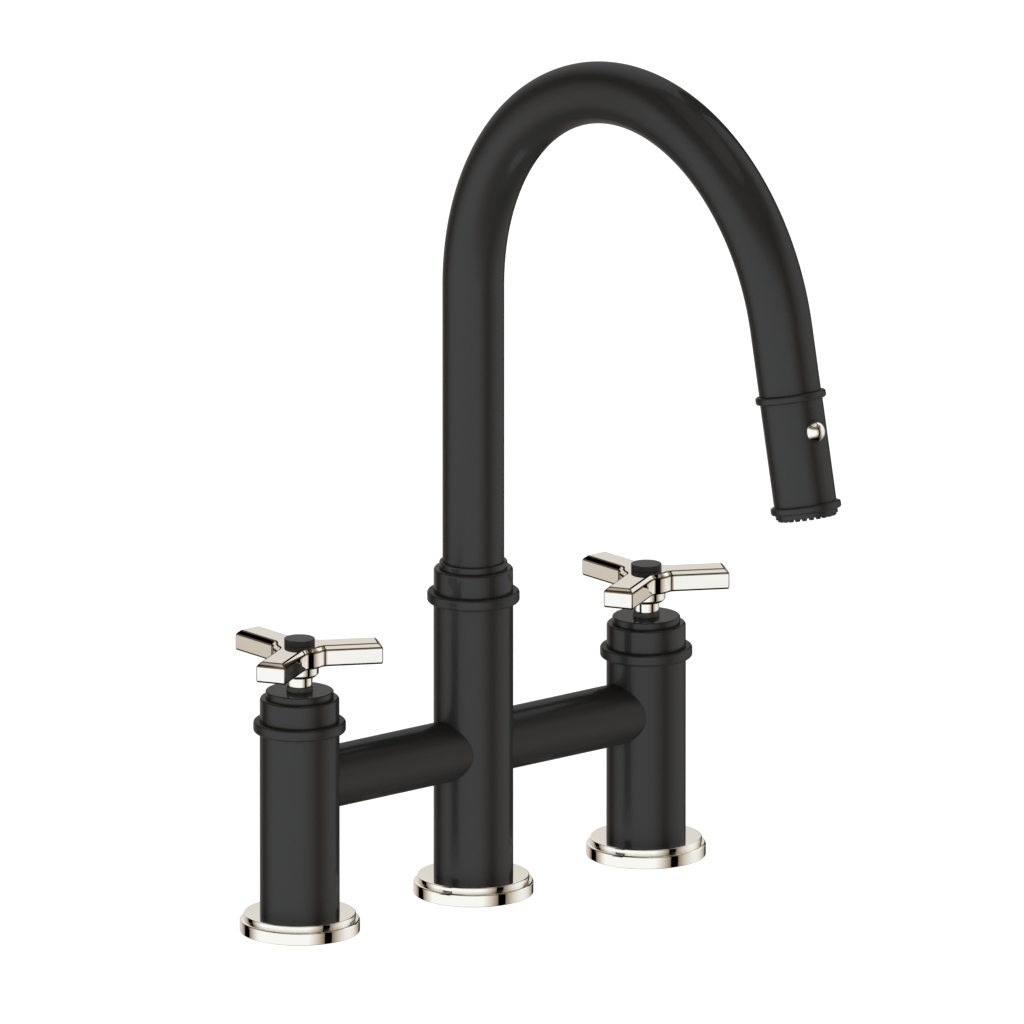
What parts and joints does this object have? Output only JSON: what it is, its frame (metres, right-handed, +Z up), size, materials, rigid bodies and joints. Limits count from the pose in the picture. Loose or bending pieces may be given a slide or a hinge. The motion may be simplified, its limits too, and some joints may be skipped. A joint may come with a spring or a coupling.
{
  "type": "bridge kitchen faucet with pull-down spray",
  "caption": "Black bridge kitchen faucet with a swivelling gooseneck spout, a pull-down spray wand and three-arm polished nickel handles.",
  "frame": {"origin": "centre of the middle flange's underside, on the worktop", "axes": "+Z up, +X along the bridge from the hot valve to the cold valve, and the spout reaches towards -Y"},
  "size_m": [0.2744, 0.2855, 0.4522],
  "materials": {
    "matte_black": "matte black coating on brass",
    "polished_nickel": "warm polished nickel plate",
    "black_plastic": "matte",
    "black_rubber": "matte",
    "brass": "machined",
    "steel": "machined",
    "ceramic": "lapped ceramic",
    "pale_plastic": "moulded",
    "magnet": "sintered",
    "hose_cover": "braided nylon"
  },
  "bodies": {
    "column": {"left_flange": "polished_nickel", "middle_flange": "polished_nickel", "right_flange": "polished_nickel", "deck_gaskets": "black_rubber", "left_pillar": "matte_black", "middle_pillar": "matte_black", "right_pillar": "matte_black", "left_bridge_tube": "matte_black", "right_bridge_tube": "matte_black", "left_shank": "brass", "middle_shank": "brass", "right_shank": "brass", "friction_washers": "black_rubber", "clamp_washers": "steel", "fixing_nuts": "brass", "hose_guide": "steel", "outlet_manifold": "brass", "left_trim_ring": "matte_black", "middle_trim_ring": "matte_black", "right_trim_ring": "matte_black", "left_bonnet": "matte_black", "middle_bonnet": "matte_black", "right_bonnet": "matte_black", "seat_seals": "black_rubber", "fixed_discs": "ceramic", "left_cartridge_body": "brass", "right_cartridge_body": "brass", "stem_bushings": "black_plastic", "swivel_bearing": "pale_plastic"},
    "left_valve": {"left_handle": "polished_nickel", "left_handle_sleeve": "polished_nickel", "left_index_cap": "black_plastic", "left_handle_screw": "steel", "left_spindle": "brass", "left_moving_disc": "ceramic"},
    "right_valve": {"right_handle": "polished_nickel", "right_handle_sleeve": "polished_nickel", "right_index_cap": "black_plastic", "right_handle_screw": "steel", "right_spindle": "brass", "right_moving_disc": "ceramic"},
    "spout": {"spout_tube": "matte_black", "spout_journal": "brass", "swivel_rings": "black_rubber", "spout_clip": "steel", "spout_dock": "pale_plastic", "dock_magnet": "magnet", "spray_hose": "hose_cover"},
    "hose_end": {"hose_coupling": "brass"},
    "wand": {"wand_shell": "matte_black", "wand_top_ring": "matte_black", "wand_bottom_ring": "matte_black", "diverter_body": "pale_plastic", "spray_face": "black_plastic", "nozzle_mat": "black_rubber", "aerator": "pale_plastic", "button_spring": "steel"},
    "button": {"spray_button": "polished_nickel", "diverter_spool": "pale_plastic"}
  },
  "joints": [
    {"name": "left_handle_turn", "type": "hinge", "parent": "column", "child": "left_valve", "pos_m": [-0.1016, 0, 0.1288], "axis": [0, 0, 1], "range_deg": [0, 90]},
    {"name": "right_handle_turn", "type": "hinge", "parent": "column", "child": "right_valve", "pos_m": [0.1016, 0, 0.1288], "axis": [0, 0, 1], "range_deg": [-90, 0]},
    {"name": "spout_swivel", "type": "hinge", "parent": "column", "child": "spout", "pos_m": [0, 0, 0.1434], "axis": [0, 0, 1], "range_deg": [-90, 90]},
    {"name": "wand_pull", "type": "slide", "parent": "spout", "child": "hose_end", "axis": [0, -0.213, -0.977], "range_m": [0, 0.18], "stiffness_N_per_m": 5, "springref_m": -1, "deforming": ["spray_hose"]},
    {"name": "wand_turn", "type": "hinge", "parent": "hose_end", "child": "wand", "pos_m": [0, -0.22172, 0.27799], "axis": [0, -0.213, -0.977], "continuous": true},
    {"name": "button_press", "type": "slide", "parent": "wand", "child": "button", "axis": [0, 0.977, -0.213], "range_m": [0, 0.0015], "stiffness_N_per_m": 1500, "springref_m": -0.0006, "deforming": ["button_spring"]}
  ]
}
